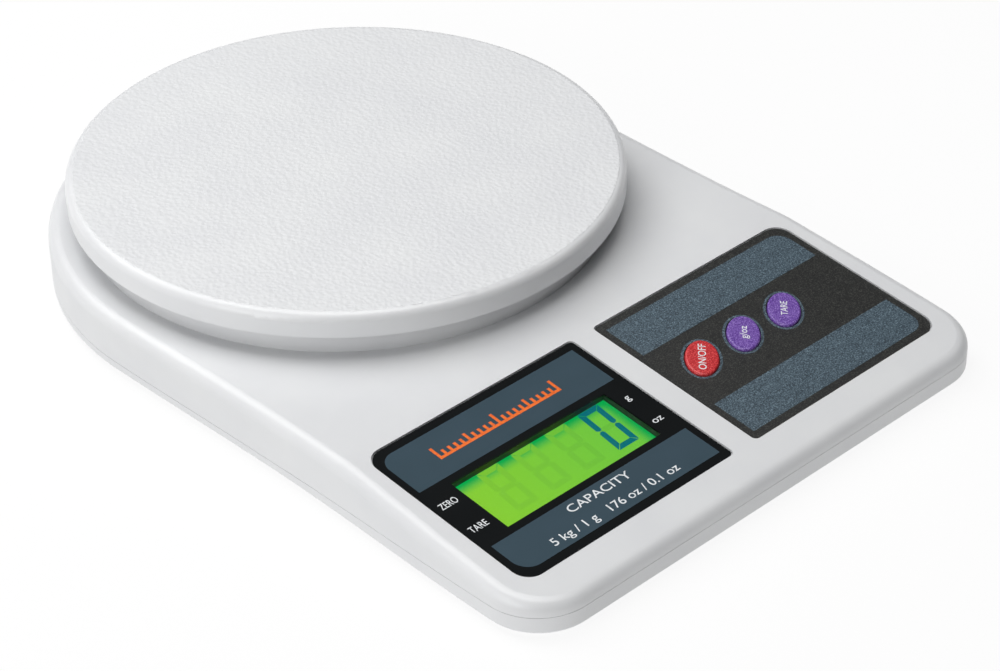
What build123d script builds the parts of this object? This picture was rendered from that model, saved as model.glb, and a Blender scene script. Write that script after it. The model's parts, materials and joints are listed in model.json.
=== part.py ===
from build123d import *
from math import cos, radians, sin, tan
import os

# Compact battery kitchen scale.
# Frame: +X to the right along the front edge, +Y towards the platter, +Z up.
# The origin is the middle of the footprint on the surface that the feet stand on.
# All sizes are in millimetres. "From" names a distance between two features.

# ---------------------------------------------------------------- driving sizes
body_width = 168.0
waist_inset = 0.8
front_flare = 1.0
front_corner_radius = 16.0
foot_drop = 1.5
housing_height = 16.0
panel_slope = 6.0
bend_radius = 60.0
bend_behind_label = 1.4
edge_radius = 3.5
base_edge_radius = 1.0
cover_wall = 2.0
floor_thickness = 2.0

platter_margin = 6.0
platter_thickness = 2.4
platter_clearance = 3.3
platter_skirt = 6.9
platter_skirt_wall = 2.0
platter_edge_radius = 2.4
platter_rib_radii = (58.0, 26.0)
platter_rib_width = 1.2
platter_rib_height = 1.2
pedestal_overhang = 4.2
pedestal_edge_radius = 1.2

label_depth = 57.8
label_spacing = 8.3
label_side_margin = 7.35
label_front_margin = 12.1
label_to_platter = 14.4
label_thickness = 0.6
label_recess = 0.9
label_outer_radius = 4.8
label_inner_radius = 1.2

window_length = 53.8
window_depth = 20.3
window_from_outer_edge = 10.2
window_from_back = 20.5

button_long = 14.4
button_short = 9.1
button_turn = 45.0
button_spacing = 4.0
button_from_edge = 7.1
button_from_back = 27.0
button_dome = 0.75
crown_share = 0.85
button_travel = 0.4

seam_rise_rear = 2.7
seam_rise_front = 5.1
seam_bend_behind_label = 28.4
lip_thickness = 1.2
lip_height = 2.0

weigh_travel = 0.5

# ------------------------------------------------------------- named clearances
seam_gap = 0.12
lip_gap = 0.15
label_gap = 0.35
button_gap = 0.25
cover_hole_gap = 0.2
frame_gap = 0.2
running_gap = 0.05
loose_gap = 0.2
door_gap = 0.3
board_rest_gap = 0.05
touch_gap = 0.1
cell_gap = 0.3
carrier_gap = 1.0
merge = 0.5

# --------------------------------------------------------------- derived planes
rear_radius = body_width / 2
platter_radius = rear_radius - platter_margin
pedestal_radius = platter_radius - pedestal_overhang
label_run = label_depth * cos(radians(panel_slope))
panel_length = label_front_margin + label_run + label_to_platter
body_length = panel_length + platter_radius + rear_radius
platter_y = body_length / 2 - rear_radius
front_y = -body_length / 2
label_back_y = front_y + label_front_margin + label_run
bend_y = label_back_y + bend_behind_label
base_z = foot_drop
floor_z = base_z + floor_thickness
deck_z = base_z + housing_height
ceiling_z = deck_z - cover_wall
slope = tan(radians(panel_slope))
seam_rear_z = base_z + seam_rise_rear
seam_front_z = base_z + seam_rise_front
seam_bend_y = label_back_y + seam_bend_behind_label


def deck_height(y):
    """Height of the deck surface at a distance y along the body."""
    return deck_z - slope * max(0.0, bend_y - y)


# Working plane of the sloping front deck: local X across, local Y uphill to the
# back edge of the labels, local Z along the deck's outward normal.
panel_plane = Plane(
    origin=(0, label_back_y, deck_height(label_back_y)),
    x_dir=(1, 0, 0),
    z_dir=(0, -sin(radians(panel_slope)), cos(radians(panel_slope))),
)


def on_panel(shape):
    """Carry a shape drawn in panel coordinates to its place on the front deck."""
    return panel_plane.location * shape


def panel_y(y, height):
    """Panel coordinate of a body position y, at a height off the deck surface."""
    tilt = radians(panel_slope)
    return (y - label_back_y + height * sin(tilt)) / cos(tilt)


def slab(length, depth, low, high, x=0.0, y=0.0):
    """Plain block between two heights."""
    return Pos(x, y, (low + high) / 2) * Box(length, depth, high - low)


def post(radius, low, high, x=0.0, y=0.0):
    """Plain upright cylinder between two heights."""
    return Pos(x, y, (low + high) / 2) * Cylinder(radius, high - low)


def plan_outline(inset):
    """Body outline seen from above, moved inwards by an inset."""
    half = rear_radius - inset
    side_end = front_y + front_corner_radius
    waist_y = (platter_y + side_end) / 2
    rear = CenterArc((0, platter_y), half, 0, 180)
    front_half = half + front_flare
    right = Spline(
        (half, platter_y),
        (half - waist_inset, waist_y),
        (front_half, side_end),
        tangents=((0, -1), (0, -1)),
    )
    left = mirror(right, about=Plane.YZ)
    corner = front_corner_radius - inset
    centre_x = front_half - corner
    right_corner = CenterArc((centre_x, side_end), corner, -90, 90)
    left_corner = CenterArc((-centre_x, side_end), corner, 180, 90)
    nose = Line((-centre_x, front_y + inset), (centre_x, front_y + inset))
    return make_face([rear, right, right_corner, nose, left_corner, left])


def side_profile(low, drop):
    """Slice across the whole width, from a low height up to the deck less a drop."""
    reach = body_length / 2 + 5
    outline = FilletPolyline(
        (0, -reach, deck_height(-reach) - drop),
        (0, bend_y, deck_z - drop),
        (0, reach, deck_z - drop),
        radius=bend_radius,
    )
    rest = Polyline(
        (0, reach, deck_z - drop),
        (0, reach, low),
        (0, -reach, low),
        (0, -reach, deck_height(-reach) - drop),
    )
    face = make_face([outline, rest])
    return extrude(face, amount=body_width, dir=(1, 0, 0), both=True)


def below_seam(lift):
    """Everything under the seam line between the two covers, raised by a lift."""
    reach = body_length / 2 + 5
    seam_slope = (seam_front_z - seam_rear_z) / (seam_bend_y - front_y)
    far_z = seam_front_z + seam_slope * (front_y + reach)
    outline = Polyline(
        (0, -reach, 0),
        (0, -reach, far_z + lift),
        (0, seam_bend_y, seam_rear_z + lift),
        (0, reach, seam_rear_z + lift),
        (0, reach, 0),
        close=True,
    )
    return extrude(make_face([outline]), amount=body_width, dir=(1, 0, 0), both=True)


def body_block(inset, low, drop):
    """Closed block of the body's outline between a low height and the deck."""
    column = Pos(0, 0, low) * extrude(plan_outline(inset), amount=2 * housing_height)
    return column & side_profile(low - 1, drop)


# ------------------------------------------------------------ housing hardware
rear_screw_reach = rear_radius - 9.1
rear_screw_turn = radians(55.9)
screw_spots = [
    (rear_radius - 10.0, label_back_y + 15.4),
    (rear_screw_reach * cos(rear_screw_turn), platter_y + rear_screw_reach * sin(rear_screw_turn)),
    (rear_radius - 26.0, front_y + 15.0),
]
screw_spots += [(-x, y) for x, y in screw_spots]
screw_head_radius = 2.8
screw_head_height = 1.6
screw_shank_radius = 1.4
screw_web = 1.5
screw_tip_room = 0.4
screw_slot_width = 0.6
screw_slot_depth = 0.7
recess_reach = 1.1
head_rounding = 0.35
boss_wall = 1.9
screw_web_low = base_z + 2.4
boss_meet_z = screw_web_low + screw_web
screw_tip_z = boss_meet_z + 2.7

foot_radius = 6.0
foot_pocket_depth = 1.0
foot_edge_radius = 0.6
foot_spots = [(rear_radius - 18.0, front_y + 37.0), (rear_radius - 29.0, platter_y + 33.0)]
foot_spots += [(-x, y) for x, y in foot_spots]

# -------------------------------------------------------- load cell and carrier
bar_length = 75.0
bar_width = 12.0
bar_height = 10.0
bar_rise = 5.5
bar_z = base_z + bar_rise
bar_top_z = bar_z + bar_height
bar_middle_z = (bar_z + bar_top_z) / 2
bar_screw_x = (22.5, 32.5)
bar_thread_radius = 2.0
bar_thread_depth = 7.0
bar_hole_radius = 3.2
bar_hole_spread = 8.0
bar_slot_height = 2.4
shim_thickness = 1.0
bar_pad_length = 22.0
bar_pad_width = 14.0
bar_pad_x = (bar_length - bar_pad_length) / 2
bar_screw_head_radius = 3.5
bar_screw_head_height = 1.8
bar_screw_bite = 6.0
bar_screw_web_z = base_z + 2.2
overload_post_radius = 4.0
gauge_length = 18.0
gauge_width = 9.0
gauge_thickness = 1.0

# ----------------------------------------------------------------- battery bay
cell_radius = 7.25
cell_length = 49.2
cell_edge_radius = 0.8
cell_nub_radius = 2.7
cell_nub_length = 1.3
cell_spread = 14.9
contact_thickness = 0.4
contact_width = 9.0
contact_height = 10.0
spring_room = 2.7
spring_radius = 3.4
spring_wire_radius = 0.35
spring_turns = 3.2
bay_half_length = cell_length / 2 + cell_nub_length + spring_room
bay_depth = cell_spread + 2 * cell_radius + 1.1
bay_wall = 1.5
bay_roof_thickness = 0.8
bay_back_y = platter_y - bar_pad_width / 2 - 6.5
bay_front_y = bay_back_y - bay_depth
bay_y = (bay_back_y + bay_front_y) / 2
door_thickness = 1.5
door_margin = 1.4
door_half_length = bay_half_length + door_margin
door_back_y = bay_back_y + door_margin
door_front_y = bay_front_y - door_margin
door_y = (door_back_y + door_front_y) / 2
door_hinge_z = base_z + door_thickness / 2
door_pin_radius = 0.6
door_pin_length = 1.4
door_rib_length = 24.0
door_rib_width = 0.8
door_rib_height = 0.3
door_rib_pitch = 2.0
door_rib_count = 4
door_ribs_from_edge = 5.0
finger_notch_radius = 6.0
finger_notch_depth = 1.0
cell_z = base_z + door_thickness + loose_gap + cell_radius
cell_spots = [bay_y - cell_spread / 2, bay_y + cell_spread / 2]
bay_roof_z = cell_z + cell_radius + cell_gap

# ------------------------------------------------ carrier, pedestal and platter
carrier_low_z = max(bar_top_z + 3.8, bay_roof_z + bay_roof_thickness + carrier_gap)
carrier_thickness = 2.2
carrier_top_z = carrier_low_z + carrier_thickness
carrier_arm_width = 12.0
carrier_hub_radius = 22.0
carrier_boss_radius = 6.5
carrier_boss_reach = 45.0
carrier_hole_gap = 1.5
carrier_head_low = carrier_top_z - bar_screw_head_height - 0.4
pedestal_ceiling_z = carrier_top_z + carrier_gap
pedestal_top_z = pedestal_ceiling_z + cover_wall
platter_under_z = pedestal_top_z + platter_clearance
platter_top_z = platter_under_z + platter_thickness
platter_boss_length = 1.3
carrier_boss_top_z = platter_under_z - platter_boss_length
peg_radius = 2.5
peg_length = 5.5
peg_tip_room = 0.8

# ------------------------------------------------------------- panel electronics
label_length = rear_radius - label_side_margin - label_spacing / 2
label_centre = label_spacing / 2 + label_length / 2
label_top = label_thickness - label_recess
window_x = -(label_spacing / 2 + label_length) + window_from_outer_edge + window_length / 2
window_y = -(window_from_back + window_depth / 2)
button_swing = cos(radians(button_turn))
button_span = ((button_long * button_swing) ** 2 + (button_short * button_swing) ** 2) ** 0.5
button_pitch = button_span + button_spacing
first_button_x = label_spacing / 2 + button_from_edge + button_span / 2
button_y = -button_from_back
button_xs = {
    "power": first_button_x,
    "unit": first_button_x + button_pitch,
    "tare": first_button_x + 2 * button_pitch,
}
button_flange = 1.0
button_flange_thickness = 0.9
button_flange_top = -cover_wall - touch_gap
button_flange_low = button_flange_top - button_flange_thickness
button_stem_radius = 2.2

collar_wall = 1.2
collar_top = -label_recess - board_rest_gap
frame_top = -cover_wall - board_rest_gap
frame_rim = 0.6
frame_wall = 2.6
lcd_border_length = 2.1
lcd_border_depth = 2.35
lcd_shift = -0.8
lcd_length = window_length + 2 * lcd_border_length
lcd_depth = window_depth + 2 * lcd_border_depth
lcd_y = window_y + lcd_shift
lcd_thickness = 1.8
lcd_top = frame_top - frame_rim
lcd_low = lcd_top - lcd_thickness
backlight_thickness = 2.0
backlight_low = lcd_low - backlight_thickness
strip_depth = 1.8
strip_inset = 2.0
frame_length = lcd_length + 2 * frame_wall
frame_depth = lcd_depth + 2 * frame_wall

board_thickness = 1.2
board_top = backlight_low - board_rest_gap
board_low = board_top - board_thickness
board_side_margin = 6.4
board_back_margin = 4.35
main_board_ends = (
    window_x - frame_length / 2 - board_side_margin,
    window_x + frame_length / 2 + board_side_margin,
)
main_board_back = lcd_y + frame_depth / 2 + board_back_margin
main_board_front = lcd_y - lcd_depth / 2
key_board_margin = button_span / 2 + 8.0
key_board_ends = (button_xs["power"] - key_board_margin, button_xs["tare"] + key_board_margin)
key_board_half_depth = 10.5
key_board_back = button_y + key_board_half_depth
key_board_front = button_y - key_board_half_depth
board_screw_radius = 1.0
board_screw_head_radius = 2.0
board_screw_head_height = 1.1
board_screw_bite = 3.5
board_boss_radius = 2.4
board_screw_inset = 2.6
main_screw_ys = (main_board_back - 3.0, main_board_back - 20.0)
key_screw_ys = (key_board_back - board_screw_inset, key_board_back - 17.0)


def screw_grid(ends, rows):
    """Screw places near both ends of a board, in two rows."""
    xs = (ends[0] + board_screw_inset, ends[1] - board_screw_inset)
    return [(x, y) for x in xs for y in rows]


main_board_screws = screw_grid(main_board_ends, main_screw_ys)
key_board_screws = screw_grid(key_board_ends, key_screw_ys)
board_screws_at = main_board_screws + key_board_screws

chip_radius = 6.0
chip_height = 1.2
chip_edge_radius = 0.8
ribbon_overlap = 6.0
ribbon_depth = 7.6
ribbon_thickness = 0.6
ribbon_y = (key_screw_ys[0] + main_screw_ys[1]) / 2

switch_size = 6.0
switch_height = 2.5
switch_top = board_top + switch_height
plunger_radius = 1.6
plunger_depth = 0.7
plunger_rise = 0.6
plunger_top = switch_top + plunger_rise

# ------------------------------------------------------------------------ wires
cable_radius = 0.8
cable_bend = 5.0
cable_lift = 0.1
cable_start_x = -gauge_length / 2
wire_radius = 0.55
wire_bend = 2.0
wire_xs = tuple(-(bay_half_length + bay_wall + step) for step in (3.9, 6.3))
cable_x = min(-bar_length / 2 - 6.5, wire_xs[1] - 7.6)
floor_run_z = floor_z + 2.7
plug_back_y = label_back_y - 13.6
plug_length = 6.0
wire_end_y = plug_back_y + 2 * touch_gap
plug_height = 2.4
battery_plug_x = sum(wire_xs) / 2
plug_places = ((cable_x, 8.0), (battery_plug_x, 6.0))
chip_x = battery_plug_x + 9.65
chip_y = main_board_back - 10.0


def ellipse_post(long_axis, short_axis, low, high, x):
    """Upright oval column on the panel, its long axis turned across the row."""
    oval = Ellipse(long_axis / 2, short_axis / 2, rotation=button_turn)
    return Pos(x, button_y, low) * extrude(oval, amount=high - low)


def label_shape(side, grow, low, high):
    """Label outline with two large outer corners; side is -1 left, +1 right."""
    length = label_length + 2 * grow
    depth = label_depth + 2 * grow
    centre = (side * label_centre, -label_depth / 2)
    sheet = Pos(centre[0], centre[1]) * Rectangle(length, depth)
    outer = [v for v in sheet.vertices() if v.X * side > label_centre]
    sheet = fillet(outer, label_outer_radius + grow)
    inner = [v for v in sheet.vertices() if v.X * side < label_spacing / 2 + label_gap]
    sheet = fillet(inner, label_inner_radius + grow)
    return Pos(0, 0, low) * extrude(sheet, amount=high - low)


# -------------------------------------------------------------------- top cover
def make_top_cover():
    shell = body_block(0, seam_rear_z - 1, 0) - below_seam(seam_gap)
    rim = [e for e in shell.edges() if is_top_rim(e)]
    shell = fillet(rim, edge_radius)
    shell = shell - body_block(cover_wall, 0, cover_wall)
    shell = shell + post(pedestal_radius, ceiling_z, pedestal_top_z, 0, platter_y)
    shell = shell - post(
        pedestal_radius - cover_wall, ceiling_z - 1, pedestal_ceiling_z, 0, platter_y
    )
    shell = fillet(pedestal_edges(shell), pedestal_edge_radius)
    for x, y in carrier_boss_spots():
        hole = carrier_boss_radius + carrier_hole_gap
        shell -= post(hole, pedestal_ceiling_z - 1, pedestal_top_z + 1, x, y)
    shell = shell + cover_bosses()
    shell = shell - cover_pilot_holes()
    return shell - panel_openings()


def is_top_rim(edge):
    """True for the edges where the deck meets the side wall."""
    middle = edge.position_at(0.5)
    on_deck = abs(middle.Z - deck_height(middle.Y)) < 0.4
    inside = abs(middle.X) < 0.01 and front_y + 1 < middle.Y < platter_y
    return on_deck and not inside


def pedestal_edges(shell):
    """Outer top edge of the round pedestal."""
    rings = shell.edges().filter_by(GeomType.CIRCLE)
    return [
        e
        for e in rings
        if abs(e.radius - pedestal_radius) < 0.01 and abs(e.center().Z - pedestal_top_z) < 0.01
    ]


def carrier_boss_spots():
    """Centres of the four carrier bosses, on the diagonals."""
    reach = carrier_boss_reach * cos(radians(45))
    return [(sx * reach, platter_y + sy * reach) for sx in (-1, 1) for sy in (-1, 1)]


def cover_bosses():
    """Screw posts under the deck, trimmed to its inner surface."""
    boss_radius = screw_shank_radius + boss_wall
    posts = [post(boss_radius, boss_meet_z, deck_z, x, y) for x, y in screw_spots]
    posts += [
        on_panel(post(board_boss_radius, board_top, -cover_wall / 2, x, y))
        for x, y in board_screws_at
    ]
    return Compound(posts) & side_profile(0, cover_wall / 2)


def cover_pilot_holes():
    """Holes that the self-tapping screws cut their thread in."""
    pilot = screw_shank_radius + running_gap
    holes = [post(pilot, boss_meet_z - 1, screw_tip_z + screw_tip_room, x, y) for x, y in screw_spots]
    board_pilot = board_screw_radius + running_gap
    holes += [
        on_panel(post(board_pilot, board_top - 1, board_top + board_screw_bite + screw_tip_room, x, y))
        for x, y in board_screws_at
    ]
    return Compound(holes)


def panel_openings():
    """Label recesses, window opening and button holes in the front deck."""
    cuts = [label_shape(side, label_gap, -label_recess, 3) for side in (-1, 1)]
    grow = 2 * (collar_wall + frame_gap)
    cuts.append(slab(window_length + grow, window_depth + grow, -4, 0, window_x, window_y))
    hole_grow = 2 * (button_gap + cover_hole_gap)
    for x in button_xs.values():
        cuts.append(ellipse_post(button_long + hole_grow, button_short + hole_grow, -4, 0, x))
    return Compound([on_panel(c) for c in cuts])


# ----------------------------------------------------------------- bottom cover
def make_bottom_cover():
    rim = body_block(0, base_z, 0) & below_seam(0)
    under = [e for e in rim.edges() if abs(e.center().Z - base_z) < 0.01]
    rim = fillet(under, base_edge_radius)
    hollow = body_block(cover_wall, floor_z, -2)
    tub = rim - hollow
    lip = body_block(cover_wall + lip_gap, floor_z - merge, cover_wall)
    lip -= body_block(cover_wall + lip_gap + lip_thickness, 0, 0)
    lip = lip & below_seam(lip_height)
    floor = body_block(cover_wall + lip_gap, base_z + 0.2, 0)
    floor = floor & slab(2 * body_width, 2 * body_length, 0, floor_z)
    tub = tub + lip + floor
    for x, y in screw_spots:
        tub += post(screw_head_radius + boss_wall, floor_z - merge, boss_meet_z, x, y)
    tub += battery_box()
    tub += bar_seat()
    stop_z = bar_z - weigh_travel - touch_gap
    tub += post(overload_post_radius, floor_z - merge, stop_z, bar_screw_x[1], platter_y)
    for x, y in screw_spots:
        tub -= post(screw_head_radius + loose_gap, base_z - 1, screw_web_low, x, y)
        tub -= post(screw_shank_radius + loose_gap, base_z, boss_meet_z + 1, x, y)
    for x, y in foot_spots:
        tub -= post(foot_radius + touch_gap, base_z - 1, base_z + foot_pocket_depth, x, y)
    tub -= bar_seat_holes()
    tub -= battery_hollow()
    return tub - door_opening()


def bar_seat():
    """Raised pad under the fixed end of the load cell."""
    seat_z = bar_z - shim_thickness
    return slab(bar_pad_length, bar_pad_width, floor_z - merge, seat_z, -bar_pad_x, platter_y)


def bar_seat_holes():
    """Head pockets and through holes for the two load cell screws."""
    holes = []
    for x in bar_screw_x:
        holes.append(post(bar_screw_head_radius + loose_gap, 0, bar_screw_web_z, -x, platter_y))
        holes.append(post(bar_thread_radius + loose_gap, 0, bar_z + 1, -x, platter_y))
    return Compound(holes)


def battery_box():
    """Outer block of the battery compartment."""
    length = 2 * (bay_half_length + bay_wall)
    depth = bay_depth + 2 * bay_wall
    return slab(length, depth, floor_z - merge, bay_roof_z + bay_roof_thickness, 0, bay_y)


def battery_hollow():
    """Space for the two cells, open to the door below."""
    return slab(2 * bay_half_length, bay_depth, base_z - 1, bay_roof_z, 0, bay_y)


def door_opening():
    """Opening for the door, its round hinge groove, pin holes and finger notch."""
    depth = door_back_y - door_front_y + door_gap
    middle = (door_back_y + door_front_y - door_gap) / 2
    top = base_z + door_thickness + board_rest_gap
    length = 2 * (door_half_length + door_gap)
    opening = slab(length, depth, base_z - 1, top, 0, middle)
    groove_radius = door_thickness / 2 + door_gap
    turn = Pos(0, door_back_y, door_hinge_z) * Rot(0, 90, 0)
    groove = turn * Cylinder(groove_radius, length)
    pin_reach = door_half_length + door_pin_length + loose_gap
    pins = turn * Cylinder(door_pin_radius + running_gap, 2 * pin_reach)
    mouth_y = door_back_y + groove_radius / 2
    mouth = slab(length, groove_radius, 0, door_hinge_z, 0, mouth_y)
    notch_z = base_z + finger_notch_depth
    notch = post(finger_notch_radius, base_z - 1, notch_z, 0, door_front_y - 1)
    return opening + groove + pins + mouth + notch


# --------------------------------------------------------- loose housing pieces
def make_battery_door():
    """Flat door with a full round back edge and two short hinge pins."""
    depth = door_back_y - door_front_y
    plate = slab(2 * door_half_length, depth, base_z, base_z + door_thickness, 0, door_y)
    turn = Pos(0, door_back_y, door_hinge_z) * Rot(0, 90, 0)
    edge = turn * Cylinder(door_thickness / 2, 2 * door_half_length)
    pins = turn * Cylinder(door_pin_radius, 2 * (door_half_length + door_pin_length))
    ribs = []
    for i in range(door_rib_count):
        y = door_front_y + door_ribs_from_edge + i * door_rib_pitch
        ribs.append(slab(door_rib_length, door_rib_width, base_z - door_rib_height, base_z + merge, 0, y))
    return plate + edge + pins + Compound(ribs)


def make_feet():
    """Four rubber buttons pressed into the pockets of the underside."""
    foot = post(foot_radius, 0, base_z + foot_pocket_depth)
    low_edge = foot.edges().filter_by(GeomType.CIRCLE).sort_by(Axis.Z)[0]
    foot = fillet(low_edge, foot_edge_radius)
    return Compound([Pos(x, y, 0) * foot for x, y in foot_spots])


def pan_screw(head_radius, head_height, shank_radius, web, tip):
    """Screw standing upright: head below the web that it holds, shank up to its tip."""
    low = web - head_height
    head = post(head_radius, low, web)
    rim = head.edges().filter_by(GeomType.CIRCLE).sort_by(Axis.Z)[0]
    head = fillet(rim, head_height * head_rounding)
    shank = post(shank_radius, web - touch_gap, tip)
    return head + shank - cross_recess(head_radius, low, screw_slot_depth)


def cross_recess(head_radius, face, depth):
    """Cross-shaped driver recess, reaching to both sides of a head's outer face."""
    low = face - depth
    high = face + depth
    reach = head_radius * recess_reach
    return slab(reach, screw_slot_width, low, high) + slab(screw_slot_width, reach, low, high)


def make_housing_screws():
    screw = pan_screw(
        screw_head_radius, screw_head_height, screw_shank_radius, screw_web_low, screw_tip_z
    )
    return Compound([Pos(x, y, 0) * screw for x, y in screw_spots])


# ------------------------------------------------------------------ weighing set
def make_load_cell():
    """Aluminium bar with a dumbbell cut-out and two threaded holes at each end."""
    bar = slab(bar_length, bar_width, bar_z, bar_top_z, 0, platter_y)
    across = Pos(0, platter_y, bar_middle_z) * Rot(90, 0, 0)
    for x in (-bar_hole_spread, bar_hole_spread):
        bar -= across * Pos(x, 0, 0) * Cylinder(bar_hole_radius, 2 * bar_width)
    bar -= across * Box(2 * bar_hole_spread, bar_slot_height, 2 * bar_width)
    for x in bar_screw_x:
        bar -= post(bar_thread_radius, bar_top_z - bar_thread_depth, bar_top_z + 1, x, platter_y)
        bar -= post(bar_thread_radius, bar_z - 1, bar_z + bar_thread_depth, -x, platter_y)
    return bar


def make_load_cell_shim():
    """Steel shim between the seat and the fixed end of the bar."""
    shim = slab(bar_pad_length, bar_pad_width, bar_z - shim_thickness, bar_z, -bar_pad_x, platter_y)
    for x in bar_screw_x:
        shim -= post(bar_thread_radius + loose_gap, 0, bar_z + 1, -x, platter_y)
    return shim


def make_load_cell_screws():
    """Two machine screws up through the seat into the fixed end."""
    shank = bar_thread_radius - running_gap
    tip = bar_z + bar_screw_bite
    screw = pan_screw(bar_screw_head_radius, bar_screw_head_height, shank, bar_screw_web_z, tip)
    return Compound([Pos(-x, platter_y, 0) * screw for x in bar_screw_x])


def make_strain_gauges():
    """Silicone-covered gauge patches on the thin webs, above and below."""
    over = slab(gauge_length, gauge_width, bar_top_z, bar_top_z + gauge_thickness, 0, platter_y)
    under = slab(gauge_length, gauge_width, bar_z - gauge_thickness, bar_z, 0, platter_y)
    return Compound([over, under])


def make_platter_carrier():
    """Four-armed plastic carrier screwed to the free end of the load cell."""
    hub = post(carrier_hub_radius, carrier_low_z, carrier_top_z, 0, platter_y)
    span = 2 * carrier_boss_reach
    for turn in (45, -45):
        arm = slab(span, carrier_arm_width, carrier_low_z, carrier_top_z)
        hub += Pos(0, platter_y, 0) * Rot(0, 0, turn) * arm
    for x, y in carrier_boss_spots():
        hub += post(carrier_boss_radius, carrier_low_z, carrier_boss_top_z, x, y)
    hub += slab(bar_pad_length, bar_pad_width, bar_top_z, carrier_top_z, bar_pad_x, platter_y)
    socket_floor = platter_under_z - peg_length - peg_tip_room
    for x, y in carrier_boss_spots():
        hub -= post(peg_radius + running_gap, socket_floor, platter_top_z, x, y)
    for x in bar_screw_x:
        hub -= post(bar_thread_radius + loose_gap, 0, platter_top_z, x, platter_y)
        hub -= post(bar_screw_head_radius + loose_gap, carrier_head_low, platter_top_z, x, platter_y)
    return hub


def make_carrier_screws():
    """Two machine screws down through the carrier into the free end."""
    top = carrier_head_low + bar_screw_head_height
    shank_low = bar_top_z - bar_screw_bite
    shank = post(bar_thread_radius - running_gap, shank_low, carrier_head_low + touch_gap)
    head = post(bar_screw_head_radius, carrier_head_low, top)
    rim = head.edges().filter_by(GeomType.CIRCLE).sort_by(Axis.Z)[-1]
    head = fillet(rim, bar_screw_head_height * head_rounding)
    screw = head + shank - cross_recess(bar_screw_head_radius, top, screw_slot_depth)
    return Compound([Pos(x, platter_y, 0) * screw for x in bar_screw_x])


def make_platter():
    """Round tray with a deep skirt, underside ribs and four locating pegs."""
    low = platter_top_z - platter_skirt
    tray = post(platter_radius, low, platter_top_z, 0, platter_y)
    rim = tray.edges().filter_by(GeomType.CIRCLE).sort_by(Axis.Z)[-1]
    tray = fillet(rim, platter_edge_radius)
    tray -= post(platter_radius - platter_skirt_wall, low - 1, platter_under_z, 0, platter_y)
    for inner in platter_rib_radii:
        rib_low = platter_under_z - platter_rib_height
        rib = post(inner + platter_rib_width, rib_low, platter_under_z + merge, 0, platter_y)
        rib -= post(inner, 0, platter_under_z, 0, platter_y)
        tray += rib
    for x, y in carrier_boss_spots():
        tray += post(carrier_boss_radius, carrier_boss_top_z, platter_under_z + merge, x, y)
        tray += post(peg_radius, platter_under_z - peg_length, platter_under_z, x, y)
    return tray


# --------------------------------------------------------------- battery pieces
def make_cells():
    """Two round cells side by side, facing opposite ways."""
    cells = []
    for y, way in zip(cell_spots, (1, -1)):
        can = Cylinder(cell_radius, cell_length)
        can = fillet(can.edges().filter_by(GeomType.CIRCLE), cell_edge_radius)
        nub_z = (cell_length + cell_nub_length) / 2
        nub = Pos(0, 0, nub_z) * Cylinder(cell_nub_radius, cell_nub_length)
        cells.append(Pos(0, y, cell_z) * Rot(0, 90 * way, 0) * (can + nub))
    return Compound(cells)


def make_battery_springs():
    """Coil springs that press on the flat end of each cell."""
    gap = bay_half_length - contact_thickness - cell_length / 2
    end_room = spring_wire_radius + touch_gap
    springs = []
    for y, way in zip(cell_spots, (1, -1)):
        path = Helix(pitch=gap / spring_turns, height=gap - 2 * end_room, radius=spring_radius)
        wire = Plane(origin=path @ 0, z_dir=path % 0) * Circle(spring_wire_radius)
        coil = sweep(wire, path=path, is_frenet=True)
        lift = Pos(0, 0, -bay_half_length + contact_thickness + end_room)
        springs.append(Pos(0, y, cell_z) * Rot(0, 90 * way, 0) * lift * coil)
    return Compound(springs)


def make_battery_contacts():
    """Nickel-plated strips on both end walls of the bay."""
    x = bay_half_length - contact_thickness / 2
    low = cell_z - contact_height / 2
    high = cell_z + contact_height / 2
    strips = [slab(contact_thickness, cell_spread + contact_width, low, high, x, bay_y)]
    for y in cell_spots:
        strips.append(slab(contact_thickness, contact_width, low, high, -x, y))
    return Compound(strips)


def wire_run(points, radius, bend):
    """Round wire along straight runs joined by tangent arcs."""
    path = FilletPolyline(*points, radius=bend)
    section = Plane(origin=path @ 0, z_dir=path % 0) * Circle(radius)
    return sweep(section, path=path)


def make_battery_wires():
    """Two thin wires from the bay wall forward to their plug."""
    start_x = -(bay_half_length + bay_wall)
    wires = []
    for x, y in zip(wire_xs, reversed(cell_spots)):
        route = [(start_x, y, floor_run_z), (x, y, floor_run_z), (x, wire_end_y, floor_run_z)]
        wires.append(wire_run(route, wire_radius, wire_bend))
    return Compound(wires)


def make_load_cell_cable():
    """Round sheathed cable from the gauges over the bar's end to the main board."""
    top = bar_top_z + cable_radius + cable_lift
    route = [
        (cable_start_x, platter_y, top),
        (cable_x, platter_y, top),
        (cable_x, platter_y, floor_run_z),
        (cable_x, wire_end_y, floor_run_z),
    ]
    return wire_run(route, cable_radius, cable_bend)


def make_board_plugs():
    """Two crimp plugs under the back edge of the main board."""
    low = board_low - plug_height
    middle = panel_y(plug_back_y, board_low - plug_height / 2) - plug_length / 2
    plugs = []
    for x, width in plug_places:
        plugs.append(on_panel(slab(width, plug_length, low, board_low, x, middle)))
    return Compound(plugs)


# --------------------------------------------------------------- display pieces
def make_display_label():
    label = label_shape(-1, 0, -label_recess, label_top)
    window = slab(window_length, window_depth, -2, 1, window_x, window_y)
    return on_panel(label - window)


def make_display_window():
    """Clear pane that fills the label's opening, flush with its face."""
    return on_panel(
        slab(window_length, window_depth, -label_recess, label_top, window_x, window_y)
    )


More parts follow.
